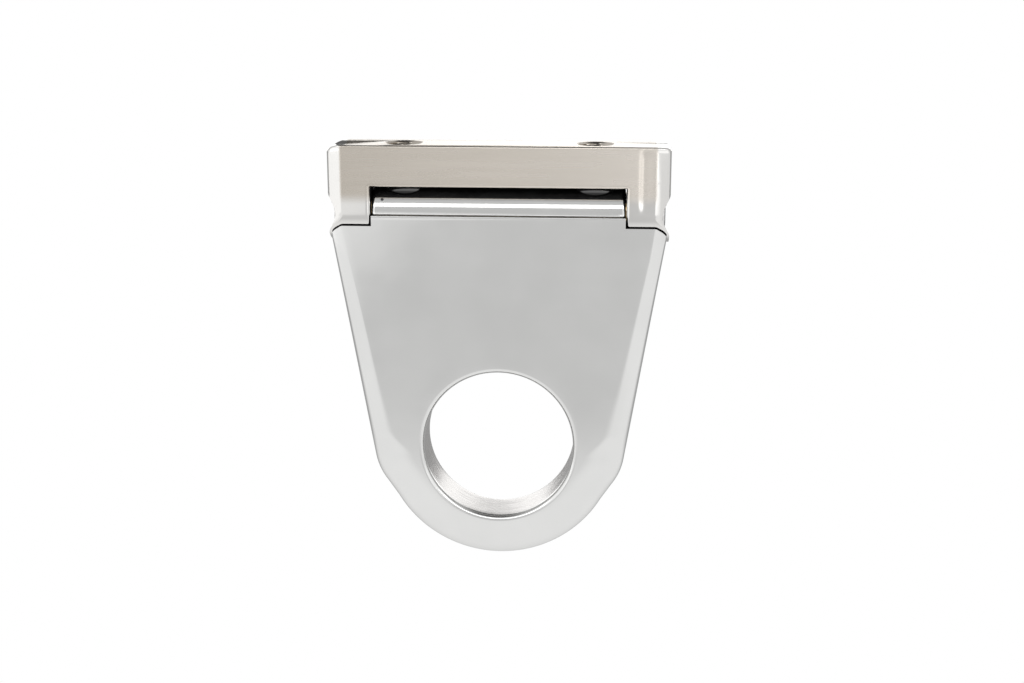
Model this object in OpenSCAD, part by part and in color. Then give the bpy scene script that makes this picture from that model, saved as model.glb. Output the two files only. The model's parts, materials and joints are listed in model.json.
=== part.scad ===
// Pivoting hoist ring: a yoke block with two ears carries a thick eye plate on a hinge pin.
// Origin: centre of the block's top mounting face. +Z is up, X runs along the hinge pin,
// and the front is towards -Y. The eye plate hangs straight down. All sizes in millimetres.

/* [Yoke block] */
// Width of the block across its two side faces
block_w = 89; // [84:0.5:110]
// Thickness of the block and of the eye plate, front to back
body_t = 15; // [14:0.5:18]
// Solid roof between the mounting face and the slot
roof_t = 10.7; // [7:0.1:14]
// Width of the slot between the two ears
slot_w = 66.6; // [60:0.2:67]
// Width of the shallow bevel down each front vertical edge
front_bevel_w = 4; // [1:0.5:5]
// Depth of the shallow bevel down each front vertical edge
front_bevel_d = 1.6; // [0.5:0.1:2]
// Chamfer down each back vertical edge
back_chamfer = 4; // [1:0.5:5]
// Small break round the mounting face
edge_break = 0.5; // [0.2:0.1:1]

/* [Mounting holes] */
// Distance between the two tapped holes
mount_spacing = 50; // [36:1:52]
// Core diameter of each tapped hole (8.5 for M10)
mount_core_d = 8.5; // [5:0.1:9.2]
// Chamfer at both ends of each tapped hole
mount_chamfer = 0.9; // [0.4:0.1:1.2]

/* [Eye plate] */
// Distance from the hinge pin down to the centre of the eye
eye_drop = 62.25; // [54:0.25:90]
// Bore of the eye
eye_d = 40; // [24:0.5:42]
// Radius of the edge at both ends of the eye bore
eye_round = 1.4; // [0.6:0.1:2]
// Radial width of the ring round the eye
ring_w = 11.8; // [9:0.1:13]
// Width of the bevel round the outside of the ring
ring_bevel_w = 7; // [3:0.5:8]
// Depth of the bevel round the outside of the ring
ring_bevel_d = 2.6; // [0.8:0.1:3]
// How far the plate stands out past each side of the block where it meets the ears
plate_flare = 0.2; // [0:0.1:2]
// Width of the bevel along the plate's side edges
side_bevel_w = 4.4; // [2:0.2:6]
// Depth of the bevel along the plate's side edges
side_bevel_d = 1.6; // [0.8:0.1:2.5]
// How far the lower corners of the plate's body reach into the ring
ring_bite = 0.5; // [0.3:0.1:1]
// How far each shoulder stands outside the ring
shoulder_out = 1.2; // [0.5:0.1:2]
// How far the shoulders lie below the centre of the eye
shoulder_drop = 8; // [4:0.5:11]
// Angle on the ring, below the horizontal, where the shoulder cut ends
shoulder_cut_angle = 30; // [26:1:40]

/* [Knuckle] */
// How far the knuckle stands in from each face of the plate
knuckle_inset = 0.75; // [0.5:0.05:1]
// Height below the pin's axis where the plate's faces start to run in to the knuckle
neck_drop = 1.2; // [0.8:0.1:2]
// Running gap between the knuckle and the slot roof
roof_gap = 0.45; // [0.3:0.05:1]
// Gap between each ear and the end of the knuckle
side_gap = 0.25; // [0.15:0.05:0.5]
// Gap between the ears' round ends and the saddles they turn in
saddle_gap = 0.5; // [0.3:0.05:0.8]
// Chamfer round each end of the knuckle
knuckle_chamfer = 1; // [0.4:0.1:1.2]

/* [Hinge pin and bushes] */
// Diameter of the hinge pin
pin_d = 7; // [5:0.5:7.5]
// Radial clearance between the pin and the knuckle bushes
running_clearance = 0.05; // [0.02:0.01:0.1]
// Wall of the knuckle bushes
bush_wall = 0.95; // [0.8:0.05:1.1]
// Length of each knuckle bush
bush_l = 16; // [8:1:22]
// Wall of the bushes in the ears
ear_bush_wall = 1.1; // [0.8:0.1:1.2]
// Thickness of the thrust washers
washer_t = 0.95; // [0.7:0.05:1.4]
// Gap left between a thrust washer and its ear
washer_gap = 0.1; // [0.05:0.05:0.2]
// How far a thrust washer reaches past the bush that it covers
washer_seat = 0.8; // [0.4:0.1:0.8]
// Thickness of the grease seals
seal_t = 0.8; // [0.6:0.1:1.2]
// Clearance of seals and washers round the pin
lip_clearance = 0.1; // [0.05:0.05:0.2]
// Diameter of the dowel that locks the left bush in the knuckle
lock_pin_d = 1; // [0.8:0.1:1.5]
// Distance from the bush's outer end to the centre of the dowel
lock_pin_inset = 1.2; // [1:0.1:3]
// Angle of the dowel above the horizontal, towards the front
lock_pin_angle = 33; // [15:1:50]

/* [Pin ends] */
// Depth of the dish in each side face
dish_depth = 2.8; // [1.8:0.1:3]
// Wall left between the rim of the dish and the ear's round end
dish_lip = 0.1; // [0.1:0.1:1]
// Width of the sloping wall inside the dish
dish_wall_w = 0.6; // [0.3:0.1:1.4]
// Thread diameter of the end screws
screw_d = 4; // [3:0.5:4]
// Length of the screw shank in the pin
screw_l = 9; // [6:1:14]
// Height of the countersunk screw head
head_h = 1.6; // [1.4:0.1:1.8]
// Width across flats of the hexagon socket
socket_af = 2.5; // [2:0.5:2.5]
// Depth of the hexagon socket
socket_depth = 1.4; // [1:0.1:2]
// Thickness of the cup washer under each head
cup_t = 1.3; // [0.8:0.1:1.4]
// Gap round the cup washer, on the floor of the dish
cup_side_gap = 0.8; // [0.2:0.1:1.2]
// Slope of the cup washer's rim
cup_slope = 0.5; // [0.2:0.1:0.8]
// Gap between each end of the pin and the floor of its dish
pin_end_gap = 0.3; // [0.1:0.1:0.6]

/* [Hidden] */
$fn = 96;
over = 1;          // how far a cutting tool runs past a face
left = -1;
right = 1;

// Radii about the hinge pin
half_t = body_t / 2;
ear_r = half_t;
knuckle_r = half_t - knuckle_inset;
saddle_r = ear_r + saddle_gap;
pin_r = pin_d / 2;
bush_bore_r = pin_r + running_clearance;
bush_r = bush_bore_r + bush_wall;
lip_r = pin_r + lip_clearance;
washer_r = bush_r + washer_seat;
washer_pocket_r = washer_r + running_clearance;
ear_bush_r = pin_r + ear_bush_wall;
dish_rim_r = ear_r - dish_lip;
dish_floor_r = dish_rim_r - dish_wall_w;

// Heights, measured down from the mounting face
roof_z = -roof_t;
pin_z = roof_z - roof_gap - knuckle_r;
eye_z = pin_z - eye_drop;

// Stations along the hinge pin, measured from the middle
half_w = block_w / 2;
slot_x = slot_w / 2;
knuckle_x = slot_x - side_gap;
washer_out_x = slot_x - washer_gap;
washer_in_x = washer_out_x - washer_t;
bush_out_x = washer_in_x - seal_t;
bush_in_x = bush_out_x - bush_l;
lock_pin_x = bush_out_x - lock_pin_inset;
dish_x = half_w - dish_depth;
pin_x = dish_x - pin_end_gap;
head_x = dish_x + head_h;

// End screws and cup washers
screw_r = screw_d / 2;
head_r = screw_r + head_h;
cup_r = dish_floor_r - cup_side_gap;

// Outline of the eye plate, about the centre of the eye
eye_r = eye_d / 2;
ring_r = eye_r + ring_w;
plate_top_x = half_w + plate_flare;
shoulder_x = ring_r + shoulder_out;

// Angle above the pin's axis where the run-in from the plate's face enters the knuckle: two
// thirds of the way up to where it would only graze the knuckle
neck_r = norm([half_t, neck_drop]);
neck_angle = 2 / 3 * (acos(knuckle_r / neck_r) - atan(neck_drop / half_t));

// Draws its children on the right or on the left
module on_side(side) {
    if (side == right) children();
    else mirror([1, 0, 0]) children();
}

// A solid of revolution about the hinge pin, from an outline of [radius, x] points
module about_pin(outline) {
    translate([0, 0, pin_z]) rotate([0, 90, 0]) rotate_extrude() polygon(outline);
}

// A cylinder on the hinge pin's axis, between two stations
module on_pin(radius, x_from, x_to) {
    translate([x_from, 0, pin_z]) rotate([0, 90, 0]) cylinder(r = radius, h = x_to - x_from);
}

// A tube on the hinge pin's axis, between two stations
module tube_on_pin(outer_r, inner_r, x_from, x_to) {
    difference() {
        on_pin(outer_r, x_from, x_to);
        on_pin(inner_r, x_from - over, x_to + over);
    }
}

// Space of the dowel that locks the left bush: from half way into the bush outwards
module lock_pin_space(outer_r) {
    inner_r = bush_bore_r + bush_wall / 2;
    translate([-lock_pin_x, 0, pin_z]) rotate([90 - lock_pin_angle, 0, 0])
        translate([0, 0, inner_r]) cylinder(d = lock_pin_d, h = outer_r - inner_r);
}

// Plan of the block: a rectangle with bevelled vertical edges, drawn in by inset all round
module block_plan(inset) {
    side_x = half_w - inset;
    face_y = half_t - inset;
    polygon([
        [front_bevel_w - half_w, -face_y], [half_w - front_bevel_w, -face_y],
        [side_x, front_bevel_d - half_t], [side_x, half_t - back_chamfer],
        [half_w - back_chamfer, face_y], [back_chamfer - half_w, face_y],
        [-side_x, half_t - back_chamfer], [-side_x, front_bevel_d - half_t]
    ]);
}

// Side view of the block: flat top, and a lower end that is round about the pin
module block_side() {
    translate([0, pin_z]) circle(r = ear_r);
    translate([-half_t, pin_z]) square([body_t, -pin_z]);
}

// Tapped hole through the roof, chamfered at both ends
module mount_hole() {
    core_r = mount_core_d / 2;
    mouth_r = core_r + mount_chamfer + over;
    rotate_extrude() polygon([
        [0, over], [mouth_r, over], [core_r, -mount_chamfer],
        [core_r, roof_z + mount_chamfer], [mouth_r, roof_z - over], [0, roof_z - over]
    ]);
}

// Dished recess round the pin end in one side face, and the bore for the ear bush
module dish() {
    mouth_r = dish_rim_r + over * dish_wall_w / dish_depth;
    on_pin(ear_bush_r, slot_x - over, half_w);
    about_pin([
        [0, dish_x], [dish_floor_r, dish_x], [mouth_r, half_w + over], [0, half_w + over]
    ]);
}

module yoke_block() {
    low_z = pin_z - ear_r - over;
    color([0.74, 0.71, 0.67]) difference() {
        intersection() {
            union() {
                translate([0, 0, low_z]) linear_extrude(-edge_break - low_z) block_plan(0);
                translate([0, 0, -edge_break]) linear_extrude(edge_break) block_plan(edge_break);
            }
            rotate([90, 0, 90]) translate([0, 0, -half_w]) linear_extrude(block_w) block_side();
        }
        translate([-slot_x, -body_t, low_z]) cube([slot_w, 2 * body_t, roof_z - low_z]);
        for (side = [left, right]) {
            on_side(side) dish();
            translate([side * mount_spacing / 2, 0, 0]) mount_hole();
        }
    }
}

// One layer of the plate's body: an outline drawn through to a given height off the middle plane
module plate_layer(height, outline) {
    rotate([90, 0, 0]) translate([0, 0, -height]) linear_extrude(2 * height) polygon(outline);
}

// Point on the shoulder cut's lower end, at a radius about the eye
function cut_point(radius) = radius * [cos(shoulder_cut_angle), -sin(shoulder_cut_angle)];

// An outline of right-hand points, closed by the same points on the left
function both_sides(points) = concat(
    points, [for (i = [len(points) - 1:-1:0]) [-points[i][0], points[i][1]]]
);

// Body of the plate from the shoulders up, bevelled along its sides and its shoulder cuts.
// Its lower corners lie inside the ring, so that the two run into each other.
module plate_body() {
    inner_x = shoulder_x - side_bevel_w;
    inner_drop = shoulder_drop * inner_x / shoulder_x;
    hull() {
        plate_layer(half_t, both_sides([
            cut_point(ring_r - ring_bevel_w - ring_bite), [inner_x, -inner_drop],
            [plate_top_x - side_bevel_w, eye_drop]
        ]));
        plate_layer(half_t - side_bevel_d, both_sides([
            [shoulder_x, -shoulder_drop], [plate_top_x, eye_drop]
        ]));
        plate_layer(half_t - ring_bevel_d, both_sides([
            cut_point(ring_r - ring_bite), [shoulder_x - side_bevel_w, 0]
        ]));
    }
}

// Ring round the eye, bevelled at the front and back of its rim
module ring_body() {
    rim_y = half_t - ring_bevel_d;
    face_r = ring_r - ring_bevel_w;
    rotate([90, 0, 0]) rotate_extrude() polygon([
        [0, -half_t], [face_r, -half_t], [ring_r, -rim_y],
        [ring_r, rim_y], [face_r, half_t], [0, half_t]
    ]);
}

// Eye bore with rounded edges at both faces
module eye_hole() {
    corner_r = eye_r + eye_round;
    corner_y = half_t - eye_round;
    rotate([90, 0, 0]) rotate_extrude() {
        translate([0, -half_t - over]) square([eye_r, body_t + 2 * over]);
        for (face = [0, 1]) mirror([0, face]) difference() {
            translate([eye_r - over, corner_y]) square([eye_round + over, eye_round + over]);
            translate([corner_r, corner_y]) circle(r = eye_round);
        }
    }
}

// Knuckle barrel, with the run-in from the plate's two faces
module knuckle() {
    end_r = knuckle_r - knuckle_chamfer;
    body_x = knuckle_x - knuckle_chamfer;
    touch = [knuckle_r * cos(neck_angle), knuckle_r * sin(neck_angle)];
    about_pin([
        [0, -knuckle_x], [end_r, -knuckle_x], [knuckle_r, -body_x],
        [knuckle_r, body_x], [end_r, knuckle_x], [0, knuckle_x]
    ]);
    translate([0, 0, pin_z]) rotate([90, 0, 90]) translate([0, 0, -knuckle_x])
        linear_extrude(2 * knuckle_x) polygon([
            [-half_t, -neck_drop], [half_t, -neck_drop], touch, [-touch[0], touch[1]]
        ]);
}

module plate_slab() {
    difference() {
        union() {
            ring_body();
            plate_body();
        }
        eye_hole();
        translate([-knuckle_x, -body_t, eye_drop - neck_drop])
            cube([2 * knuckle_x, 2 * body_t, neck_drop + over]);
    }
}

module ring_plate() {
    color([0.78, 0.78, 0.77]) difference() {
        union() {
            translate([0, 0, eye_z]) plate_slab();
            knuckle();
        }
        on_pin(bush_r, -knuckle_x - over, knuckle_x + over);
        for (side = [left, right]) on_side(side) {
            on_pin(saddle_r, knuckle_x, plate_top_x + over);
            on_pin(washer_pocket_r, washer_in_x, knuckle_x + over);
        }
        lock_pin_space(ear_r + over);
    }
}

module hinge_pin() {
    color([0.80, 0.80, 0.79]) difference() {
        on_pin(pin_r, -pin_x, pin_x);
        for (side = [left, right]) on_side(side)
            on_pin(screw_r, pin_x - screw_l, pin_x + over);
    }
}

module knuckle_bush(side) {
    color([0.72, 0.53, 0.28]) difference() {
        on_side(side) tube_on_pin(bush_r, bush_bore_r, bush_in_x, bush_out_x);
        if (side == left) lock_pin_space(ear_r);
    }
}

module ear_bush(side) {
    color([0.70, 0.70, 0.68]) on_side(side) tube_on_pin(ear_bush_r, pin_r, slot_x, dish_x);
}

module thrust_washer(side) {
    color([0.75, 0.58, 0.33]) on_side(side)
        tube_on_pin(washer_r, lip_r, washer_in_x, washer_out_x);
}

module grease_seal(side) {
    color([0.13, 0.13, 0.14]) on_side(side)
        tube_on_pin(bush_r, lip_r, bush_out_x, washer_in_x);
}

module cup_washer(side) {
    cup_x = dish_x + cup_t;
    color([0.76, 0.76, 0.75]) on_side(side) about_pin([
        [screw_r, dish_x], [cup_r, dish_x], [cup_r - cup_slope * cup_t, cup_x],
        [screw_r + cup_t, cup_x]
    ]);
}

module end_screw(side) {
    color([0.60, 0.61, 0.62]) on_side(side) difference() {
        about_pin([
            [0, pin_x - screw_l], [screw_r, pin_x - screw_l], [screw_r, dish_x],
            [head_r, head_x], [0, head_x]
        ]);
        translate([head_x - socket_depth, 0, pin_z]) rotate([0, 90, 0])
            cylinder(d = socket_af / cos(30), h = socket_depth + over, $fn = 6);
    }
}

module bush_lock_pin() {
    color([0.45, 0.45, 0.46]) lock_pin_space(knuckle_r - running_clearance);
}

yoke_block();
ring_plate();
hinge_pin();
knuckle_bush(left);  // knuckle_bush_left
knuckle_bush(right);  // knuckle_bush_right
ear_bush(left);  // ear_bush_left
ear_bush(right);  // ear_bush_right
thrust_washer(left);  // thrust_washer_left
thrust_washer(right);  // thrust_washer_right
grease_seal(left);  // grease_seal_left
grease_seal(right);  // grease_seal_right
cup_washer(left);  // cup_washer_left
cup_washer(right);  // cup_washer_right
end_screw(left);  // end_screw_left
end_screw(right);  // end_screw_right
bush_lock_pin();
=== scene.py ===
"""Looks of the pivoting hoist ring: polished and brushed stainless steel in a soft white studio."""
import json
import math

import bmesh
import bpy
import numpy as np
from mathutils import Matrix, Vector
from mathutils.geometry import tessellate_polygon


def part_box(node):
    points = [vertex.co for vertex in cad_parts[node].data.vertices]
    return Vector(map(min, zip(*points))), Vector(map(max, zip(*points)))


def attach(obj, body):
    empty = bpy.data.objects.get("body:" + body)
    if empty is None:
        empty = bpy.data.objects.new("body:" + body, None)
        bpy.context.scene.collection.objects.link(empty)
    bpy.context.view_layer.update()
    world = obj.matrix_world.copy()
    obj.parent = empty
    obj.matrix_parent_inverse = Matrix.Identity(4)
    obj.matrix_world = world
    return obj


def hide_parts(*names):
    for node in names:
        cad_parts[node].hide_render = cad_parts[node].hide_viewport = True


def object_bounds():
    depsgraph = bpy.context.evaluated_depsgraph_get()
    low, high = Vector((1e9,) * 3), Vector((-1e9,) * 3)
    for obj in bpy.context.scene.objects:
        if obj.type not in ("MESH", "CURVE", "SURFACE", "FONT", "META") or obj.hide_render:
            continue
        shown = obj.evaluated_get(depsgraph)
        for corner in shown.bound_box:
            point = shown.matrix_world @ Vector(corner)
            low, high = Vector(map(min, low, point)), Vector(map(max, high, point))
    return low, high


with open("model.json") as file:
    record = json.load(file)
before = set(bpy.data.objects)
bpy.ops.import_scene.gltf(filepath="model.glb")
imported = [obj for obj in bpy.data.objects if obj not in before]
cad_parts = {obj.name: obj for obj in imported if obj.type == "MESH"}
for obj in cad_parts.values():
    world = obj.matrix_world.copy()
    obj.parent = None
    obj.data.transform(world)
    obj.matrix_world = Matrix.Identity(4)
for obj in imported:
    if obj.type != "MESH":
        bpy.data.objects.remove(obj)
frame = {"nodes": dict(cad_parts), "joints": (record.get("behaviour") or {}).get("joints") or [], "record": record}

cad_low, cad_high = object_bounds()


# ---------------------------------------------------------------- sizes, in millimetres

MM = 0.001
PIN_Z = frame["joints"][0]["pos_m"][2] / MM
EYE_Z = next(m for m in frame["record"]["mounts"] if m["name"] == "eye")["pos_m"][2] / MM
PIN_UP = PIN_Z - EYE_Z                    # height of the pin above the centre of the eye

# Yoke block
block_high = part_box("yoke_block")[1]
HALF_W = block_high.x / MM
HALF_T = block_high.y / MM
ROOF_Z = -10.7
ROOF_UP = ROOF_Z - PIN_Z                  # height of the slot's roof above the pin
SLOT_X = 33.3
FRONT_W, FRONT_D = 3.7, 2.2
CREASE = math.radians(30)                 # turn of the crease where a front bevel starts
BACK_CHAMFER = 4.0
TOP_ROUND, SLOT_ROUND, TIP_ROUND = 0.5, 0.75, 0.3
STEP_X, STEP_HALF, STEP_D = 36.8, 0.7, 0.24      # polished step down the right of the front face
CORNER_DROP_LEFT, CORNER_DROP_RIGHT = 2.0, 0.8   # how far polishing took down the top corners
CORNER_REACH = 6.5

# Dished ends of the ears
DISH_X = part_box("cup_washer_right")[0].x / MM
DISH_FLOOR_R, DISH_RIM_R, DISH_BLEND = 6.8, 7.4, 0.7
EAR_BORE_R, EAR_BORE_MID_X = 4.6, 38.0
END_TOP = 8.6            # height above the pin up to which an ear's end is drawn in rings round the pin
END_RADII = [EAR_BORE_R, 5.3, 6.0, 6.4, 6.6, 6.7, 6.76, 6.8, 6.84, 6.9, 6.96, 7.02, 7.08, 7.14, 7.2]

# Tapped holes
MOUNT_X = 25.0
CORE_R, THREAD_R, PITCH, MOUTH_CHAMFER = 4.25, 5.0, 1.5, 0.9
THREAD_START, THREAD_RUN_IN = 0.1, 0.6
LIP_ROWS = 8             # rows of a hole's mouth that keep the outside material; deeper rows get the near-black painted shade of the inside

# Eye plate, as x and z about the centre of the eye
EYE_R, RING_R, EYE_ROUND = 20.0, 31.8, 1.4
SIDE_LOW, SIDE_HIGH = (33.0, -8.0), (HALF_W + 0.2, PIN_UP)
CUT_ANGLE = math.radians(30)
SADDLE_R = HALF_T + 0.6
SADDLE_LEVEL = 57.0      # height whose rim is used all along the saddle
SADDLE_DIP_REACH = 12.0  # height over which the side wall's rows take on the saddle's curve
# Rim: share of its depth that is a slope, where the slope has turned in, where its edge starts
RIM_LEAN, RIM_TURN, RIM_EDGE = 0.5, 0.28, 0.5

# Knuckle, its washer pockets and its bore, about the pin
KNUCKLE_R, KNUCKLE_X, KNUCKLE_ROUND = 6.75, 33.05, 1.0
POCKET_R, POCKET_X, BUSH_R, BUSH_END_X = 5.35, 32.25, 4.5, 16.0
# Ledge between the plate's flat and the knuckle: rounded edge, slant, then a hollow
NECK_DROP = 1.5
NECK_Z = PIN_UP - NECK_DROP
LEDGE_ANGLE, LEDGE_Z, EDGE_R, HOLLOW_R = math.radians(62), -0.55, 0.25, 0.35
LEDGE_TRIM = 0.4         # share of the knuckle's end rounding that reaches the slant
BARREL_DRAW_IN = 0.008   # how far the knuckle has drawn in where the hollow meets it
LEDGE_OUT = HALF_T - KNUCKLE_R + BARREL_DRAW_IN
LEDGE_RUN = (LEDGE_OUT - (EDGE_R + HOLLOW_R) * (1 - math.cos(LEDGE_ANGLE))) / math.sin(LEDGE_ANGLE)

# Material slots of a piece: outside, inside with a near-black painted shade, and bore
OUTER, INNER, BORE = 0, 1, 2
TINY = 1e-9


# ---------------------------------------------------------------- mesh helpers

def add_object(name, data):
    piece = bpy.data.objects.new(name, data)
    bpy.context.scene.collection.objects.link(piece)
    return piece


class Shell:
    """Collects grids and flat faces of one piece, in millimetres, and welds them into a mesh."""

    def __init__(self):
        self.points, self.faces, self.kinds = [], [], []

    def grid(self, rows, closed=False, kind=OUTER):
        """Quads between rows of points, each row closed into a ring or left open."""
        rows = np.asarray(rows, float)
        count, width = rows.shape[:2]
        base = sum(len(p) for p in self.points)
        self.points.append(rows.reshape(-1, 3))
        for i in range(count - 1):
            for j in range(width if closed else width - 1):
                k = (j + 1) % width
                self.faces.append((
                    base + i * width + j, base + i * width + k,
                    base + (i + 1) * width + k, base + (i + 1) * width + j,
                ))
                self.kinds.append(kind)

    def flat(self, loops, kind=OUTER):
        """A flat face with holes, from loops of points."""
        loops = [[Vector(p) for p in loop] for loop in loops]
        base = sum(len(p) for p in self.points)
        self.points.append(np.array([tuple(p) for loop in loops for p in loop]))
        for tri in tessellate_polygon(loops):
            self.faces.append(tuple(base + k for k in tri))
            self.kinds.append(kind)

    def build(self, name, sharp=32.0, change=None):
        """Welds the points, marks edges above an angle as sharp and makes the object."""
        points = np.concatenate(self.points)
        if change:
            points = change(points)
        mesh = bpy.data.meshes.new(name)
        mesh.from_pydata((points * MM).tolist(), [], self.faces)
        mesh.polygons.foreach_set("material_index", self.kinds)
        bm = bmesh.new()
        bm.from_mesh(mesh)
        bmesh.ops.remove_doubles(bm, verts=bm.verts, dist=4e-6)
        bmesh.ops.dissolve_degenerate(bm, edges=bm.edges, dist=1e-7)
        bmesh.ops.recalc_face_normals(bm, faces=bm.faces)
        for face in bm.faces:
            face.smooth = True
        for edge in bm.edges:
            if len(edge.link_faces) == 2 and edge.calc_face_angle(0) > math.radians(sharp):
                edge.smooth = False
        bm.to_mesh(mesh)
        bm.free()
        return add_object(name, mesh)


def row_of(x, y, z):
    """A row of points from coordinates, each an array or one number for the whole row."""
    return np.stack(np.broadcast_arrays(x, y, z), 1)


def arc_steps(count, start=0.0, end=math.pi / 2):
    return np.linspace(start, end, count + 1)


def round_over(distance, radius):
    """How far a surface falls back at a distance from the edge that is rounded over."""
    reach = np.clip(radius - np.asarray(distance, float), 0, radius)
    return radius - np.sqrt(radius ** 2 - reach ** 2)


def round_steps(radius, count):
    """Distances from an edge that sample its rounding evenly, from the far side to the edge."""
    return radius * (1 - np.sin(arc_steps(count)))


def smooth_min(a, b, k):
    h = np.clip(k - np.abs(a - b), 0, None) / k
    return np.minimum(a, b) - h * h * k / 4


def smooth_step(low, high, value):
    t = np.clip((value - low) / (high - low), 0, 1)
    return t * t * (3 - 2 * t)


# ---------------------------------------------------------------- yoke block

def end_contour():
    """Plan of one end of the block: x and y from the front face round the side to the back."""
    start = HALF_W - FRONT_W
    s, c = math.sin(CREASE), math.cos(CREASE)
    front = [(start + FRONT_W * (math.sin(a) - s) / (1 - s), -HALF_T + FRONT_D * (c - math.cos(a)) / c)
             for a in arc_steps(14, CREASE)]
    low = HALF_T - BACK_CHAMFER
    side = [(HALF_W, y) for y in np.linspace(FRONT_D - HALF_T, low - 0.6, 6)[1:]]
    bend = [(HALF_W - 0.07, low - 0.15), (HALF_W - 0.22, low + 0.22), (HALF_W - 0.45, low + 0.45)]
    slope = [(HALF_W - t, low + t) for t in np.linspace(0.9, BACK_CHAMFER - 0.6, 6)]
    back = HALF_W - BACK_CHAMFER
    heel = [(back + 0.28, HALF_T - 0.3), (back + 0.1, HALF_T - 0.13), (back - 0.12, HALF_T - 0.03),
            (back - 0.4, HALF_T)]
    return np.array(front + side + bend + slope + heel)


CONTOUR = end_contour()
FRONT_X, BACK_X = CONTOUR[0][0], CONTOUR[-1][0]
SLOT_STEPS = round_steps(SLOT_ROUND, 8)

# Rows down the faces, as heights above the pin: to the ear's end, to the slot's roof, to the pin
TOP_ROWS = -round_steps(TOP_ROUND, 6)[::-1] - PIN_Z
UPPER_ROWS = np.concatenate([TOP_ROWS, np.linspace(TOP_ROWS[-1], END_TOP, 9)[1:]])
MIDDLE_ROWS = np.concatenate([
    [END_TOP], np.linspace(END_TOP, ROOF_UP + SLOT_ROUND, 3)[1:-1], ROOF_UP + SLOT_STEPS[:-1], [ROOF_UP],
])
LOWER_ROWS = np.linspace(ROOF_UP, 0, 12)
EAR_TURNS = np.linspace(0, math.pi, 73)           # round the lower end of an ear, from front to back
BRIDGE_COLS = np.linspace(-SLOT_X, SLOT_X, 61)


def contour_normals():
    run = np.gradient(CONTOUR, axis=0)
    normals = np.stack([run[:, 1], -run[:, 0]], 1)
    normals /= np.linalg.norm(normals, axis=1)[:, None]
    normals[0], normals[-1] = (0, -1), (0, 1)
    return normals


def ear_columns(x_end):
    """x of the columns across an ear, from the slot to a given end."""
    start = SLOT_X + SLOT_ROUND
    spread = np.concatenate([
        np.linspace(start, STEP_X - STEP_HALF, 5)[1:],
        np.linspace(STEP_X - STEP_HALF, STEP_X + STEP_HALF, 12)[1:],
        np.linspace(STEP_X + STEP_HALF, FRONT_X, 9)[1:],
    ])
    share = (spread - start) / (FRONT_X - start)
    return np.concatenate([SLOT_X + SLOT_STEPS[::-1], start + share * (x_end - start)])


FRONT_COLS, BACK_COLS = ear_columns(FRONT_X), ear_columns(BACK_X)


def ear_end(y, z):
    """x of an ear's outer end at a point about the pin: side face, edge roundings and dish."""
    rho = np.hypot(y, z)
    side = np.interp(y, CONTOUR[:, 1], CONTOUR[:, 0])
    edge = np.where(z < 0, round_over(HALF_T - rho, TIP_ROUND), 0)
    wall = (HALF_W - DISH_X) / (DISH_RIM_R - DISH_FLOOR_R)
    dish = DISH_X + np.clip(rho - DISH_FLOOR_R, 0, None) * wall
    return smooth_min(side - edge, dish, DISH_BLEND)


def half_depth(x, z, side):
    """Half thickness of the block at a point of its front face (side -1) or back face (side 1)."""
    fall = round_over(-PIN_Z - z, TOP_ROUND)
    if side < 0:
        step = smooth_step(STEP_X - STEP_HALF, STEP_X + STEP_HALF, x)
        step = step * smooth_step(FRONT_X, STEP_X + STEP_HALF, x)
        fall = fall + STEP_D * step * smooth_step(0.0, 7.0, z) * smooth_step(0.5, 2.5, -PIN_Z - z)
    gap = np.hypot(np.clip(np.abs(x) - SLOT_X, 0, None), np.clip(z - ROOF_UP, 0, None))
    return HALF_T - fall - round_over(gap, SLOT_ROUND)


def add_faces(shell):
    """Front and back faces, down to the level of the pin."""
    bridge_rows = np.concatenate([UPPER_ROWS, MIDDLE_ROWS[1:]])
    ear_rows = np.concatenate([bridge_rows, LOWER_ROWS[1:]])
    for side, cols in ((-1, FRONT_COLS), (1, BACK_COLS)):
        for x, rows in ((BRIDGE_COLS, bridge_rows), (-cols, ear_rows), (cols, ear_rows)):
            shell.grid([row_of(x, side * half_depth(x, z, side), z + PIN_Z) for z in rows])


def add_ear_bottoms(shell):
    """Round lower end of each ear, from the front over the bottom to the back."""
    rho = HALF_T - round_over(FRONT_COLS - SLOT_X, SLOT_ROUND)
    for end in (-1, 1):
        grid = []
        for a in EAR_TURNS:
            y, z = -HALF_T * math.cos(a), -HALF_T * math.sin(a)
            x_end = float(ear_end(np.array(y), np.array(z - TINY)))
            if a == EAR_TURNS[0]:
                x_end = FRONT_X
            elif a == EAR_TURNS[-1]:
                x_end = BACK_X
            grid.append(row_of(end * ear_columns(x_end), -rho * math.cos(a), PIN_Z - rho * math.sin(a)))
        shell.grid(grid)


def ear_outline():
    """Outline of an ear's end about the pin: down the front, round below, up the back and across."""
    rows = np.concatenate([MIDDLE_ROWS, LOWER_ROWS[1:]])
    loop = [(-HALF_T, z) for z in rows]
    loop += [(-HALF_T * math.cos(a), -HALF_T * math.sin(a)) for a in EAR_TURNS[1:-1]]
    loop += [(HALF_T, z) for z in rows[::-1]]
    loop += [(y, END_TOP) for y in CONTOUR[::-1, 1][1:-1]]
    return np.array(loop)


OUTLINE = ear_outline()
OUTLINE_REACH = np.linalg.norm(OUTLINE, axis=1)[:, None]
EAR_BORE = OUTLINE * (EAR_BORE_R / OUTLINE_REACH)


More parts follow.
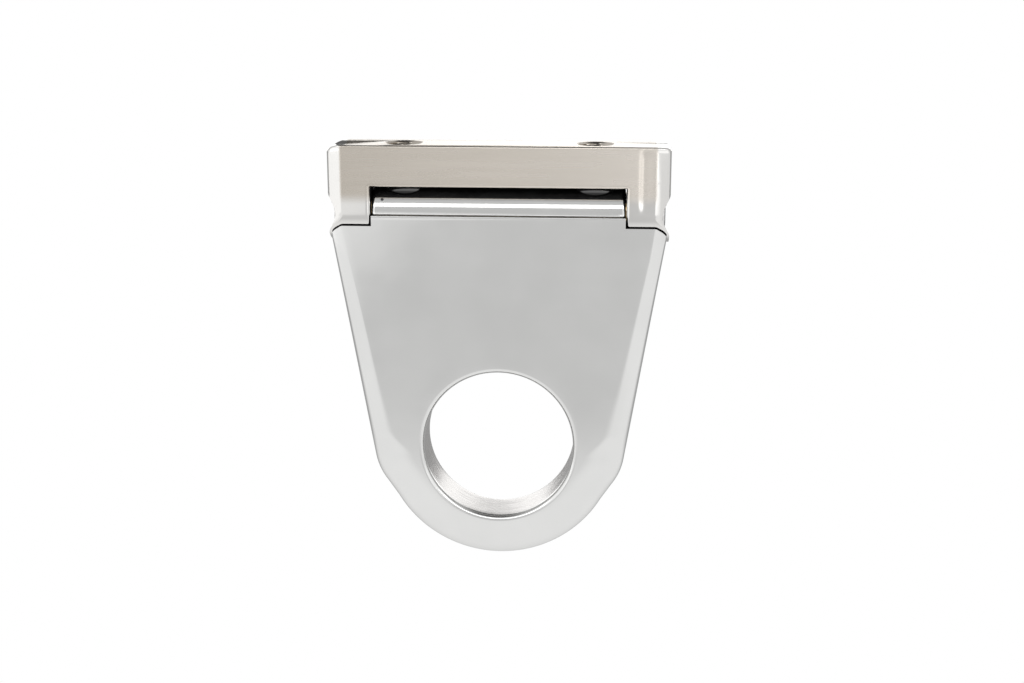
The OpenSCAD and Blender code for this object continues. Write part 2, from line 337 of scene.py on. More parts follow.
def add_ear_end(shell, end):
    """Outer end of an ear, in rings about the pin from the bore out to the faces."""
    rings = [OUTLINE * (r / OUTLINE_REACH) for r in END_RADII]
    start = END_RADII[-1]
    for share in 1 - (1 - np.linspace(0, 1, 13)[1:-1]) ** 2:
        rings.append(OUTLINE * ((start + (OUTLINE_REACH - start) * share) / OUTLINE_REACH))
    rings.append(OUTLINE)
    grid = []
    for ring in rings:
        y, z = ring[:, 0], ring[:, 1]
        x = ear_end(y, np.where(np.abs(z) < TINY, 0.0, z))
        if ring is OUTLINE:
            on_face = (np.abs(np.abs(y) - HALF_T) < TINY) & (z >= 0)
            x = np.where(on_face, np.where(y < 0, FRONT_X, BACK_X), x)
        grid.append(row_of(end * x, y, z + PIN_Z))
    shell.grid(grid, closed=True)


def add_side(shell, end):
    """Side of the block above an ear's end, up to its rounded top edge."""
    normals = contour_normals()
    grid = []
    for z in UPPER_ROWS:
        line = CONTOUR - normals * round_over(-PIN_Z - z, TOP_ROUND)
        grid.append(row_of(end * line[:, 0], line[:, 1], z + PIN_Z))
    shell.grid(grid)


def add_ear_inside(shell, end):
    """Bore for the ear bush, and the wall of the slot."""
    y, z = EAR_BORE[:, 0], EAR_BORE[:, 1] + PIN_Z
    bore = [row_of(end * x, y, z) for x in (DISH_X, EAR_BORE_MID_X, SLOT_X)]
    shell.grid(bore, closed=True, kind=INNER)
    low = HALF_T - SLOT_ROUND
    outline = [(-low, z) for z in LOWER_ROWS]
    outline += [(-low * math.cos(a), -low * math.sin(a)) for a in EAR_TURNS[1:-1]]
    outline += [(low, z) for z in LOWER_ROWS[::-1]]
    shell.flat([[(end * SLOT_X, y, z + PIN_Z) for y, z in outline], bore[-1].tolist()], kind=INNER)


def add_tapped_hole(shell, x_mid):
    """Threaded hole through the roof. Gives back its two mouths, at the top and in the slot."""
    around = np.linspace(0, 2 * math.pi, 73)[:-1]
    grid = []
    for z in np.linspace(0, ROOF_Z, 74):
        depth = min(-z, z - ROOF_Z)
        turn = (z / PITCH + around / (2 * math.pi)) % 1
        fade = np.clip((depth - THREAD_START) / THREAD_RUN_IN, 0, 1)
        flank = np.clip(1.5 * np.abs(2 * turn - 1) - 0.25, 0, 1)
        thread = CORE_R + (THREAD_R - CORE_R) * flank * fade
        radius = np.maximum(thread, CORE_R + MOUTH_CHAMFER - depth)
        grid.append(row_of(x_mid + radius * np.cos(around), radius * np.sin(around), z))
    shell.grid(grid[:LIP_ROWS + 1], closed=True)
    # deeper thread rows take the near-black painted shade of the inside
    shell.grid(grid[LIP_ROWS:], closed=True, kind=INNER)
    return grid[0].tolist(), grid[-1].tolist()


def add_roof(shell, mouths):
    """Mounting face and roof of the slot, round the mouths of the tapped holes."""
    low = HALF_T - SLOT_ROUND
    roof = [(x, -low, ROOF_Z) for x in BRIDGE_COLS] + [(x, low, ROOF_Z) for x in BRIDGE_COLS[::-1]]
    shell.flat([roof] + [bottom for top, bottom in mouths], kind=INNER)
    low = HALF_T - TOP_ROUND
    side = CONTOUR - contour_normals() * TOP_ROUND
    front = np.concatenate([-FRONT_COLS[::-1][1:], BRIDGE_COLS[1:-1], FRONT_COLS[:-1]])
    back = np.concatenate([BACK_COLS[::-1][1:], BRIDGE_COLS[::-1][1:-1], -BACK_COLS[:-1]])
    face = [(x, -low, 0) for x in front] + [(x, y, 0) for x, y in side]
    face += [(x, low, 0) for x in back] + [(-x, y, 0) for x, y in side[::-1]]
    shell.flat([face] + [top for top, bottom in mouths])


def soften_corners(points):
    """Rounds the top corners where the side faces were polished, more on the left."""
    x, z = points[:, 0], points[:, 2]
    out = np.clip((np.abs(x) - (HALF_W - FRONT_W)) / FRONT_W, 0, 0.97)
    drop = np.where(x < 0, CORNER_DROP_LEFT, CORNER_DROP_RIGHT) * (1 - np.sqrt(1 - out ** 2))
    points[:, 2] = z - drop * smooth_step(-CORNER_REACH, 0.0, z)
    return points


def make_block():
    shell = Shell()
    add_faces(shell)
    add_ear_bottoms(shell)
    for end in (-1, 1):
        add_ear_end(shell, end)
        add_side(shell, end)
        add_ear_inside(shell, end)
    add_roof(shell, [add_tapped_hole(shell, end * MOUNT_X) for end in (-1, 1)])
    return shell.build("yoke_block_body", sharp=20.0, change=soften_corners)


# ---------------------------------------------------------------- eye plate

def edge_normal(low, high):
    """Outward normal of a straight edge, and its distance from the centre of the eye."""
    run = np.array(high) - np.array(low)
    normal = np.array([run[1], -run[0]]) / np.hypot(*run)
    return normal, float(normal @ np.array(low))


SIDE_N, SIDE_H = edge_normal(SIDE_LOW, SIDE_HIGH)
CUT_LOW = (RING_R * math.cos(CUT_ANGLE), -RING_R * math.sin(CUT_ANGLE))
CUT_N, CUT_H = edge_normal(CUT_LOW, SIDE_LOW)
RIM_STEPS = arc_steps(26)                             # from the flat face (0) to the outline
ACROSS = -np.sin(np.linspace(-1, 1, 25) * math.pi / 2)    # share of the way from front to back edge


def inside(x, z):
    """Distance from a point of the plate to its outline."""
    x = np.abs(x)
    side = SIDE_H - (SIDE_N[0] * x + SIDE_N[1] * z)
    cut = CUT_H - (CUT_N[0] * x + CUT_N[1] * z)
    ring = RING_R - np.hypot(x, z)
    straight = smooth_min(side, cut, 1.6)
    share = smooth_step(-0.70, -0.50, np.arctan2(z, x))
    return ring + share * (np.maximum(straight, ring) - ring)


def rim_width(z):
    """Width of the rim at a height: tapering up the sides, and the whole ring's width below."""
    side = 6.5 - 3.1 * np.clip((z - 3.5) / 58, 0, 1)
    ring = RING_R - EYE_R - EYE_ROUND - 0.25
    return side + (ring - side) * (1 - smooth_step(-4.5, 4.0, z))


def rim_depth(z):
    """How far the rim falls back at a height."""
    return np.interp(z, [-12, 2, 30, 50, 60], [4.6, 3.9, 2.9, 2.1, 1.7])


def rim_fall(step):
    """Share of the rim's depth at a step across it, from 0 at the flat to 1 at the outline."""
    out = math.sin(step)
    slope = out ** 2 / (2 * RIM_TURN) if out < RIM_TURN else out - RIM_TURN / 2
    curve = max(out - RIM_EDGE, 0.0) / (1 - RIM_EDGE)
    return RIM_LEAN * slope / (1 - RIM_TURN / 2) + (1 - RIM_LEAN) * (1 - math.sqrt(1 - curve ** 2))


def reach_at(angle, distance):
    """Radius about the eye at which a ray comes to a distance from the outline."""
    c, s = math.cos(angle), math.sin(angle)
    low, high = 10.0, 90.0
    for _ in range(46):
        mid = (low + high) / 2
        if inside(mid * c, mid * s) > distance:
            low = mid
        else:
            high = mid
    return (low + high) / 2


def side_x(z):
    return (SIDE_H - SIDE_N[1] * z) / SIDE_N[0]


def saddle_z(y):
    return PIN_UP - math.sqrt(SADDLE_R ** 2 - y ** 2)


def saddle_corner():
    """Where the saddle cuts the rim, from the outline inwards: x, z and the step across the rim."""
    corner = []
    for step in RIM_STEPS[::-1]:
        z = saddle_z(-HALF_T + rim_depth(SADDLE_LEVEL) * rim_fall(step))
        x = side_x(z) - rim_width(SADDLE_LEVEL) * (1 - math.sin(step)) / SIDE_N[0]
        corner.append((x, z, step))
    return corner


def plate_rays():
    """Rays from the eye over the right half of the front face, from below round to the top.

    Each has its angle, its end point or None, the part that it ends at and its last step of the rim.
    """
    corner = saddle_corner()
    corner_x, corner_z, _ = corner[0]
    flat_x, flat_z, _ = corner[-1]
    shoulder = math.radians(8)
    rim_angles = np.concatenate([
        np.radians(np.linspace(-90, -40, 51)), np.radians(np.linspace(-40, 8, 97))[1:],
        np.linspace(shoulder, math.atan2(corner_z, corner_x), 46)[1:-1],
    ])
    neck_x = np.concatenate([
        KNUCKLE_X - KNUCKLE_ROUND * (1 - np.cos(arc_steps(8))),
        np.linspace(KNUCKLE_X - KNUCKLE_ROUND, 0, 34)[1:],
    ])
    ends = [(x, z, "saddle", step) for x, z, step in corner]
    ends += [(x, flat_z, "saddle", 0.0) for x in np.linspace(flat_x, KNUCKLE_X, 9)[1:]]
    ends += [(x, NECK_Z, "neck", 0.0) for x in neck_x]
    rays = [(angle, None, "rim", math.pi / 2) for angle in rim_angles]
    return rays + [(math.atan2(z, x), (x, z), part, last) for x, z, part, last in ends]


# Profile of the eye's bore, as radius and depth, from the middle out to the front face
BORE_WALL = [(EYE_R, y) for y in np.linspace(0, HALF_T - EYE_ROUND, 4)]
BORE_EDGE = [(EYE_R + EYE_ROUND * (1 - math.cos(a)), HALF_T - EYE_ROUND * (1 - math.sin(a)))
             for a in arc_steps(10)[1:]]


def front_line(angle, end, part, last):
    """Points along one ray: the bore's wall and rounded edge, the flat face and the rim."""
    c, s = math.cos(angle), math.sin(angle)
    stop = math.hypot(*end) if end else reach_at(angle, 0.0)
    level = end[1] if end else stop * s
    if part == "saddle":
        level = SADDLE_LEVEL
    width, depth = float(rim_width(level)), float(rim_depth(level))
    start = EYE_R + EYE_ROUND
    flat_end = min(stop, reach_at(angle, width)) if last > 0 else stop
    flat_end = max(flat_end, start + 0.05)
    line = [(r, -y) for r, y in BORE_WALL + BORE_EDGE]
    line += [(start + (flat_end - start) * t, -HALF_T) for t in np.linspace(0, 1, 13)[1:]]
    for step in RIM_STEPS[1:]:
        radius = stop
        if step < last - TINY:
            radius = min(stop, max(reach_at(angle, width * (1 - math.sin(step))), flat_end))
        line.append((radius, -HALF_T + depth * rim_fall(min(step, last))))
    return [(r * c, y, r * s) for r, y in line]


def saddle_row(x_end, y_end, z_end):
    """A row over the saddle from the front edge to the back edge, through a point of the front edge."""
    share = (x_end - KNUCKLE_X) / (side_x(z_end) - KNUCKLE_X)
    row = []
    for y in y_end * ACROSS:
        z = saddle_z(y)
        row.append((KNUCKLE_X + share * (side_x(z) - KNUCKLE_X), y, z))
    return row


def rim_row(x_end, y_end, z_end, corner_z):
    """A row across the plate's edge, which takes on the saddle's curve near the corner."""
    fade = np.clip(1 - (corner_z - z_end) / SADDLE_DIP_REACH, 0, 1) if x_end > 0 else 0
    row = []
    for y in y_end * ACROSS:
        z = z_end - (saddle_z(y_end) - saddle_z(y)) * fade
        x = x_end + (side_x(z) - side_x(z_end) if fade > 0 else 0)
        row.append((x, y, z))
    return row


def knuckle_profile():
    """Profile about the pin from the front face over the top to the back: y, z and a trim share.

    The trim share says how much of the rounding of the knuckle's ends a point takes part in.
    """
    s, c = math.sin(LEDGE_ANGLE), math.cos(LEDGE_ANGLE)
    profile = [(-HALF_T, -NECK_DROP, 0.0)]
    profile += [(-HALF_T + EDGE_R * (1 - math.cos(a)), LEDGE_Z + EDGE_R * math.sin(a), 0.0)
                for a in arc_steps(8, 0.0, LEDGE_ANGLE)[1:]]
    y, z = profile[-1][0] + LEDGE_RUN * s, profile[-1][1] + LEDGE_RUN * c
    profile.append((y, z, LEDGE_TRIM))
    profile += [(y + HOLLOW_R * (math.cos(a) - c), z + HOLLOW_R * (s - math.sin(a)),
                 LEDGE_TRIM + (1 - LEDGE_TRIM) * smooth_step(LEDGE_ANGLE, 0.0, a))
                for a in arc_steps(8, LEDGE_ANGLE, 0.0)[1:]]
    touch = math.asin(profile[-1][1] / KNUCKLE_R)
    profile += [(-KNUCKLE_R * math.cos(a), KNUCKLE_R * math.sin(a), 1.0)
                for a in np.linspace(touch, math.pi / 2, 33)[1:]]
    half = np.array(profile)
    return np.concatenate([half, (half * (-1, 1, 1))[::-1][1:]])


def knuckle_row(profile, x):
    cut = round_over(KNUCKLE_X - abs(x), KNUCKLE_ROUND)
    scale = 1 - profile[:, 2] * cut / KNUCKLE_R
    return row_of(x, profile[:, 0] * scale, profile[:, 1] * scale + PIN_UP)


def knuckle_end(outline):
    """Rings from a knuckle's end outline, y and z, in over its washer pocket to the middle of its bore."""
    about = outline - (0, PIN_UP)
    reach = np.linalg.norm(about, axis=1)[:, None]
    pocket, bore = about * (POCKET_R / reach), about * (BUSH_R / reach)
    rings = [
        (KNUCKLE_X, about), (KNUCKLE_X, (about + pocket) / 2), (KNUCKLE_X, pocket), (POCKET_X, pocket),
        (POCKET_X, bore), (BUSH_END_X, bore), (0.0, bore),
    ]
    return np.array([row_of(x, ring[:, 0], ring[:, 1] + PIN_UP) for x, ring in rings])


def make_plate():
    rays = plate_rays()
    front = np.array([front_line(*ray) for ray in rays])
    parts = np.array([part for _, _, part, _ in rays])
    saddle_tips = front[parts == "saddle", -1]
    saddle_rows = np.array([saddle_row(*tip) for tip in saddle_tips])
    rim_rows = [rim_row(*tip, saddle_tips[0][2]) for tip in front[parts == "rim", -1]]
    rim_rows = np.array(rim_rows + [saddle_rows[0]])
    profile = knuckle_profile()
    neck_rows = np.array([knuckle_row(profile, end[0]) for _, end, part, _ in rays if part == "neck"])
    end_rings = knuckle_end(np.concatenate([neck_rows[0][:, 1:], saddle_rows[-1][::-1, 1:]]))
    edge = len(BORE_WALL)

    shell = Shell()
    for side in (-1, 1):
        flip = (side, 1, 1)
        for face in (1, -1):
            half = front * flip * (1, face, 1)
            shell.grid(half[:, :edge], kind=BORE)
            shell.grid(half[:, edge - 1:])
        shell.grid(rim_rows * flip)
        shell.grid(saddle_rows * flip, kind=INNER)
        shell.grid(neck_rows * flip)
        shell.grid(end_rings * flip, closed=True, kind=INNER)
    return shell.build("ring_plate_body", change=lambda points: points + (0, 0, EYE_Z))


block = make_block()
plate = make_plate()


# ---------------------------------------------------------------- camera

# Degrees to the right and above, focal length, and place in millimetres
CAMERA_AZIMUTH, CAMERA_ELEVATION, CAMERA_LENS = 3.72, 13.91, 54.4
CAMERA_PLACE = (29.4, -402.3, 46.7)


def make_camera():
    """Photograph's viewing angle: slightly from the right and from above, at short range."""
    azimuth, elevation = math.radians(CAMERA_AZIMUTH), math.radians(CAMERA_ELEVATION)
    data = bpy.data.cameras.new("camera")
    data.sensor_width = 36.0
    data.lens = CAMERA_LENS
    data.clip_start, data.clip_end = 0.01, 20.0
    camera = add_object("camera", data)
    back = Vector((
        math.sin(azimuth) * math.cos(elevation),
        -math.cos(azimuth) * math.cos(elevation),
        math.sin(elevation),
    ))
    camera.location = Vector(CAMERA_PLACE) * MM
    camera.rotation_mode = "QUATERNION"
    camera.rotation_quaternion = (-back).to_track_quat("-Z", "Y")
    bpy.context.scene.camera = camera


make_camera()


# ---------------------------------------------------------------- materials

class Nodes:
    """Short forms for the few shader nodes that the metals need."""

    def __init__(self, name):
        self.mat = bpy.data.materials.new(name)
        self.mat.use_nodes = True
        self.tree = self.mat.node_tree
        self.shader = self.tree.nodes["Principled BSDF"]
        self.place = self.tree.nodes.new("ShaderNodeTexCoord").outputs["Object"]

    def link(self, source, target):
        if isinstance(source, (int, float)):
            target.default_value = source
        else:
            self.tree.links.new(source, target)

    def mapped(self, scale=(1, 1, 1), shift=(0, 0, 0)):
        node = self.tree.nodes.new("ShaderNodeMapping")
        node.inputs["Scale"].default_value = scale
        node.inputs["Location"].default_value = shift
        self.link(self.place, node.inputs["Vector"])
        return node.outputs["Vector"]

    def noise(self, size, stretch=(1, 1, 1), detail=3.0, roughness=0.55):
        """Noise whose features are about size metres across, longer along a small stretch."""
        node = self.tree.nodes.new("ShaderNodeTexNoise")
        node.inputs["Scale"].default_value = 1 / size
        node.inputs["Detail"].default_value = detail
        node.inputs["Roughness"].default_value = roughness
        self.link(self.mapped(stretch), node.inputs["Vector"])
        return node.outputs["Fac"]

    def math(self, kind, a, b=0.0, clamp=False):
        node = self.tree.nodes.new("ShaderNodeMath")
        node.operation = kind
        node.use_clamp = clamp
        self.link(a, node.inputs[0])
        self.link(b, node.inputs[1])
        return node.outputs[0]

    def axis(self, index):
        node = self.tree.nodes.new("ShaderNodeSeparateXYZ")
        self.link(self.place, node.inputs[0])
        return node.outputs[index]

    def span(self, value, low, high, to_low=0.0, to_high=1.0, smooth=True):
        node = self.tree.nodes.new("ShaderNodeMapRange")
        node.interpolation_type = "SMOOTHSTEP" if smooth else "LINEAR"
        self.link(value, node.inputs["Value"])
        for name, number in (("From Min", low), ("From Max", high), ("To Min", to_low), ("To Max", to_high)):
            self.link(number, node.inputs[name])
        return node.outputs["Result"]

    def ramp(self, value, stops):
        node = self.tree.nodes.new("ShaderNodeValToRGB")
        points = node.color_ramp.elements
        while len(points) < len(stops):
            points.new(0.5)
        for point, (place, colour) in zip(points, stops):
            point.position = place
            point.color = (*colour, 1)
        self.link(value, node.inputs["Fac"])
        return node.outputs["Color"]

    def bump(self, height, depth, strength=1.0, under=None):
        node = self.tree.nodes.new("ShaderNodeBump")
        node.inputs["Distance"].default_value = depth
        self.link(strength, node.inputs["Strength"])
        self.link(height, node.inputs["Height"])
        if under:
            self.link(under, node.inputs["Normal"])
        return node.outputs["Normal"]

    def lines(self, spacing, direction, rings=False, noise=1.5, about=(0, 0, 0)):
        """Turned or ground lines: bands along an axis, or rings about it."""
        node = self.tree.nodes.new("ShaderNodeTexWave")
        node.wave_type = "RINGS" if rings else "BANDS"
        setattr(node, "rings_direction" if rings else "bands_direction", direction)
        node.inputs["Scale"].default_value = 1 / (20 * spacing) * math.pi
        node.inputs["Distortion"].default_value = noise
        node.inputs["Detail"].default_value = 3.0
        node.inputs["Detail Scale"].default_value = 2.0
        self.link(self.mapped(shift=about), node.inputs["Vector"])
        return node.outputs["Fac"]

    def finish(self, colour, roughness, normal=None, metallic=1.0):
        if isinstance(colour, tuple):
            self.shader.inputs["Base Color"].default_value = (*colour, 1)
        else:
            self.link(colour, self.shader.inputs["Base Color"])
        self.shader.inputs["Metallic"].default_value = metallic
        self.link(roughness, self.shader.inputs["Roughness"])
        if normal:
            self.link(normal, self.shader.inputs["Normal"])
        return self.mat


def shades(colour, low, high):
    """Two stops for a ramp: a colour made darker and lighter."""
    return [(0.3, tuple(c * low for c in colour)), (0.7, tuple(c * high for c in colour))]


def polished_plate():
    """Mirror polish with soft waves and a few fine scratches."""
    n = Nodes("plate_polished")
    cloud = n.noise(0.018, detail=4)
    fine = n.noise(0.0011, stretch=(0.25, 1, 1), detail=2)
    scratch = n.noise(0.0005, stretch=(0.04, 1, 1.0), detail=1)
    colour = n.ramp(cloud, shades((0.80, 0.80, 0.79), 0.97, 1.02))
    rough = n.math("ADD", n.span(cloud, 0.35, 0.65, 0.10, 0.15), n.span(scratch, 0.55, 0.8, 0.0, 0.05))
    waves = n.bump(n.noise(0.011, detail=1), 0.00002, 0.5)
    normal = n.bump(fine, 0.000004, 0.35, under=waves)
    return n.finish(colour, rough, normal)


PAINTED_REFLECTION_REACH = 0.045       # metres either way over which the block's front colour runs from dark on the left to light beige on the right: a painted reflection of the studio


def brushed_block():
    """Brushed along the block on its flat faces, polished on its bevels and its round lower ends. The brushed
    faces carry a painted reflection: their colour runs from dark on the left to light beige on the right, with
    random streaks.
    """
    n = Nodes("block_brushed")
    x, z = n.axis(0), n.axis(2)
    long_lines = n.noise(0.0004, stretch=(0.012, 1, 1), detail=3)
    broad = n.noise(0.0022, stretch=(0.05, 1, 1), detail=3)
    cloud = n.noise(0.02, detail=3)
    pin = PIN_Z * MM
    flat = n.span(z, pin + 0.0022, pin + 0.0058)
    bevel = HALF_W - FRONT_W
    side = n.span(n.math("ABSOLUTE", x), (bevel - 0.3) * MM, (bevel + 0.5) * MM, 1.0, 0.0)
    brushed = n.math("MULTIPLY", flat, side)
    streaks = n.math("SUBTRACT", broad, 0.5)
    # painted reflection: the brushed front is coloured darker to the left and lighter to the right, as the studio
    # would reflect in it
    across = n.span(x, -PAINTED_REFLECTION_REACH, PAINTED_REFLECTION_REACH, 0.0, 0.84, smooth=False)
    tone = n.math("ADD", across, n.math("MULTIPLY", streaks, 0.28), clamp=True)
    # colour of the painted reflection, from dark to light beige, with random brushing streaks added
    painted_reflection_and_streaks = n.ramp(tone, [
        (0.0, (0.56, 0.515, 0.455)), (0.42, (0.73, 0.675, 0.605)), (1.0, (0.82, 0.77, 0.71)),
    ])
    mix = n.tree.nodes.new("ShaderNodeMix")
    mix.data_type = "RGBA"
    n.link(brushed, mix.inputs["Factor"])
    n.link(n.ramp(cloud, shades((0.80, 0.79, 0.77), 0.97, 1.03)), mix.inputs["A"])
    n.link(painted_reflection_and_streaks, mix.inputs["B"])
    rough = n.math("ADD", n.span(brushed, 0, 1, 0.10, 0.27), n.math("MULTIPLY", streaks, 0.10))
    strength = n.span(brushed, 0, 1, 0.03, 0.55)
    normal = n.bump(long_lines, 0.000012, strength)
    normal = n.bump(cloud, 0.00003, 0.4, under=normal)
    return n.finish(mix.outputs["Result"], rough, normal)


def painted_shade_inside():
    """Milled steel of the slot, the saddles and the threads, coloured near-black as painted shade for the dark
    gaps and bands.
    """
    n = Nodes("painted_shade_inside")
    marks = n.lines(0.00035, "Y", noise=2.0)
    cloud = n.noise(0.006)
    # near-black painted shade: these surfaces sit in the shade between the parts
    colour = n.ramp(cloud, shades((0.018, 0.018, 0.018), 0.6, 1.4))
    return n.finish(colour, n.span(cloud, 0.3, 0.7, 0.42, 0.6), n.bump(marks, 0.00001, 0.5))


def turned_bore():
    """Fine lines round the bore of the eye."""
    n = Nodes("turned_bore")
    marks = n.lines(0.00042, "Y", noise=1.2)
    fine = n.noise(0.0004, stretch=(0.06, 1, 0.06), detail=2)
    colour = n.ramp(n.math("ADD", n.math("MULTIPLY", marks, 0.45), n.math("MULTIPLY", fine, 0.55)),
                    shades((0.62, 0.605, 0.59), 0.75, 1.15))
    normal = n.bump(marks, 0.000012, 0.6)
    return n.finish(colour, n.span(fine, 0.3, 0.7, 0.2, 0.34), normal)


def turned_metal(name, colour, roughness, spacing=0.0003, rings=True):
    """Turned metal whose tool marks run round the hinge pin."""
    n = Nodes(name)
    marks = n.lines(spacing, "X", rings=rings, noise=0.6, about=(0, 0, -PIN_Z * MM))
    cloud = n.noise(0.003)
    tone = n.ramp(n.math("ADD", n.math("MULTIPLY", marks, 0.4), n.math("MULTIPLY", cloud, 0.6)),
                  shades(colour, 0.88, 1.06))
    return n.finish(tone, n.span(cloud, 0.3, 0.7, roughness - 0.05, roughness + 0.07),
                    n.bump(marks, 0.000008, 0.6))


def seal_rubber():
    n = Nodes("nitrile_rubber")
    grain = n.noise(0.0003, detail=4)
    return n.finish(n.ramp(grain, shades((0.032, 0.032, 0.035), 0.8, 1.3)),
                    n.span(grain, 0.3, 0.7, 0.6, 0.8), n.bump(grain, 0.00002, 0.5), metallic=0.0)


for piece, node, body, slot, outer in (
    (block, "yoke_block", "yoke", "block_steel", brushed_block()),
    (plate, "ring_plate", "ring", "plate_steel", polished_plate()),
):
    # outer finish, near-black painted shade for the inside surfaces, and the bore
    for mat in (outer, painted_shade_inside(), turned_bore()):
        piece.data.materials.append(mat)
    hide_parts(node)
    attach(piece, body)

# CAD nodes that keep their shape: material, colour, roughness, spacing of the tool marks, and
# whether those run in rings about the pin or in bands along it
NODE_METALS = {
    "hinge_pin": ("ground_pin", (0.74, 0.74, 0.73), 0.16, 0.0005, False),
    "knuckle_bush": ("bearing_bronze", (0.72, 0.50, 0.24), 0.26, 0.0003, False),
    "ear_bush": ("hardened_liner", (0.60, 0.60, 0.59), 0.24, 0.0003, True),
    "thrust_washer": ("lapped_bronze", (0.75, 0.55, 0.29), 0.22, 0.0003, True),
    "cup_washer": ("turned_cup", (0.74, 0.73, 0.72), 0.20, 0.00035, True),
    "end_screw": ("screw_steel", (0.56, 0.57, 0.58), 0.24, 0.0003, True),
}


def dress(stem, mat):
    """Gives a material to each CAD node whose name starts with a stem."""
    for name, node in frame["nodes"].items():
        if name.startswith(stem):
            node.data.materials.clear()
            node.data.materials.append(mat)


for stem, look in NODE_METALS.items():
    dress(stem, turned_metal(*look))
dress("grease_seal", seal_rubber())


# ---------------------------------------------------------------- dowel

# Radius, lower end from the pin's axis, and degrees above the front
DOWEL_R, DOWEL_LOW, DOWEL_TILT = 0.42, 4.1, 33


def make_dowel():
    """Dowel that locks the left bush: a domed end, just proud of the knuckle."""
    radius, low, high, dome = DOWEL_R, DOWEL_LOW, KNUCKLE_R - 0.02, 0.07
    tilt = math.radians(DOWEL_TILT)
    along = np.array([0, -math.cos(tilt), math.sin(tilt)])
    up = np.array([0, math.sin(tilt), math.cos(tilt)])
    centre = np.array([sum(c.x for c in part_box("bush_lock_pin")) / 2 / MM, 0, PIN_Z])
    around = np.linspace(0, 2 * math.pi, 33)[:-1]
    tip = 0.001
    profile = [(tip, low), (radius, low), (radius, high)]
    profile += [(radius * math.cos(a), high + dome * math.sin(a)) for a in arc_steps(6)[1:-1]]
    profile += [(tip, high + dome)]
    shell = Shell()
    shell.grid([
        [centre + along * h + r * (up * math.cos(a) + np.array([1, 0, 0]) * math.sin(a)) for a in around]
        for r, h in profile
    ], closed=True)
    return shell.build("bush_lock_dowel")


def dowel_steel():
    n = Nodes("dowel_dark")
    speck = n.noise(0.0004)
    return n.finish(n.ramp(speck, shades((0.10, 0.10, 0.105), 0.7, 1.2)), n.span(speck, 0.3, 0.7, 0.35, 0.5))


dowel = make_dowel()
dowel.data.materials.append(dowel_steel())
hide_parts("bush_lock_pin")
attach(dowel, "ring")


# ---------------------------------------------------------------- studio

def softbox(name, place, target, size, radiance):
    """A rectangular light of a given radiance, seen in reflections but not by the camera."""
    data = bpy.data.lights.new(name, "AREA")
    data.shape = "RECTANGLE"
    data.size, data.size_y = size
    data.energy = 4 * size[0] * size[1] * radiance
    light = add_object(name, data)
    light.location = place
    light.rotation_mode = "QUATERNION"
    light.rotation_quaternion = (Vector(target) - Vector(place)).to_track_quat("-Z", "Y")
    light.visible_camera = False


def camera_or_scene(tree, seen, lit):
    """Strength seen by the camera directly, and strength that lights and reflects."""
    path = tree.nodes.new("ShaderNodeLightPath")
    mix = tree.nodes.new("ShaderNodeMix")
    mix.data_type = "FLOAT"
    tree.links.new(path.outputs["Is Camera Ray"], mix.inputs["Factor"])
    if isinstance(lit, float):
        mix.inputs["A"].default_value = lit
    else:
        tree.links.new(lit, mix.inputs["A"])
    mix.inputs["B"].default_value = seen
    return mix.outputs["Result"]


FLOOR_GAP, FLOOR_HALF = 0.025, 4


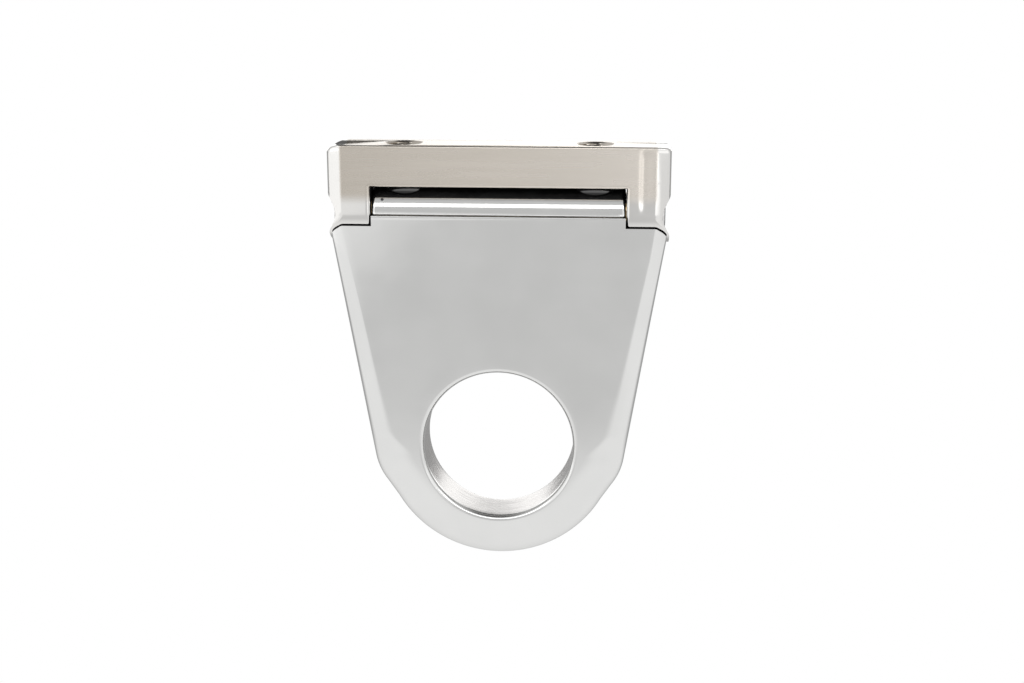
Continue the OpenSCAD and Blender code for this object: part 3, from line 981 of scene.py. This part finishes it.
def make_floor():
    """White floor for the camera. In the metal it is grey in front, bright near the part and at the
    sides, dark behind, and it holds one bright window far to the front right."""
    depth = cad_low.z - FLOOR_GAP
    mesh = bpy.data.meshes.new("floor")
    corners = [(-1, -1), (1, -1), (1, 1), (-1, 1)]
    mesh.from_pydata([(x * FLOOR_HALF, y * FLOOR_HALF, depth) for x, y in corners], [], [(0, 1, 2, 3)])
    floor = add_object("floor", mesh)
    n = Nodes("pale_floor")
    x, y = n.axis(0), n.axis(1)
    out = n.math("ABSOLUTE", x)
    glow = n.span(y, -0.26, -0.07, 0.66, 0.92)
    glow = n.span(out, 0.10, 0.17, glow, 0.92)
    glow = n.span(out, 0.30, 0.45, glow, n.span(x, -0.5, 0.5, 1.14, 0.84))
    glow = n.span(y, -0.02, 0.07, glow, 0.42)
    window = n.math("MULTIPLY", n.span(x, 0.06, 0.22), n.span(y, -0.62, -0.74))
    window = n.math("MULTIPLY", window, n.span(x, 0.44, 0.56, 0.7, 0.0))
    glow = n.math("ADD", glow, window)
    n.tree.nodes.remove(n.shader)
    emit = n.tree.nodes.new("ShaderNodeEmission")
    n.link(camera_or_scene(n.tree, 1.0, glow), emit.inputs["Strength"])
    n.link(emit.outputs[0], n.tree.nodes["Material Output"].inputs["Surface"])
    mesh.materials.append(n.mat)


def make_world():
    """White for the camera. In the metal it is a grey room, dark overhead and high up behind."""
    world = bpy.data.worlds.new("studio")
    bpy.context.scene.world = world
    world.use_nodes = True
    tree = world.node_tree
    back = tree.nodes["Background"]
    back.inputs["Color"].default_value = (1, 1, 1, 1)
    place = tree.nodes.new("ShaderNodeTexCoord").outputs["Generated"]

    def patch(direction, edge, core, base, level):
        """Fades from a base strength to a level round a direction, between two cosines."""
        dot = tree.nodes.new("ShaderNodeVectorMath")
        dot.operation = "DOT_PRODUCT"
        dot.inputs[1].default_value = direction
        tree.links.new(place, dot.inputs[0])
        span = tree.nodes.new("ShaderNodeMapRange")
        span.interpolation_type = "SMOOTHSTEP"
        tree.links.new(dot.outputs["Value"], span.inputs["Value"])
        span.inputs["From Min"].default_value = edge
        span.inputs["From Max"].default_value = core
        span.inputs["To Max"].default_value = level
        if isinstance(base, float):
            span.inputs["To Min"].default_value = base
        else:
            tree.links.new(base, span.inputs["To Min"])
        return span.outputs["Result"]

    level = patch((0, 0, 1), 0.80, 0.97, 0.62, 0.04)
    level = patch((0, 0.656, 0.755), 0.86, 0.96, level, 0.14)
    tree.links.new(camera_or_scene(tree, 1.0, level), back.inputs["Strength"])


make_floor()
make_world()
softbox("left_box", (-1.0, -0.95, 0.05), (0, 0, -0.05), (1.25, 2.0), 0.34)
softbox("right_box", (1.0, -1.0, 0.05), (0, 0, -0.05), (1.3, 2.0), 0.32)
softbox("high_strip", (0.05, -1.0, 0.64), (0, 0, -0.02), (2.6, 0.30), 1.35)
softbox("back_box", (0, 1.6, 0.25), (0, 0, 0), (3.6, 0.7), 0.8)
bpy.context.scene.view_settings.view_transform = "Standard"
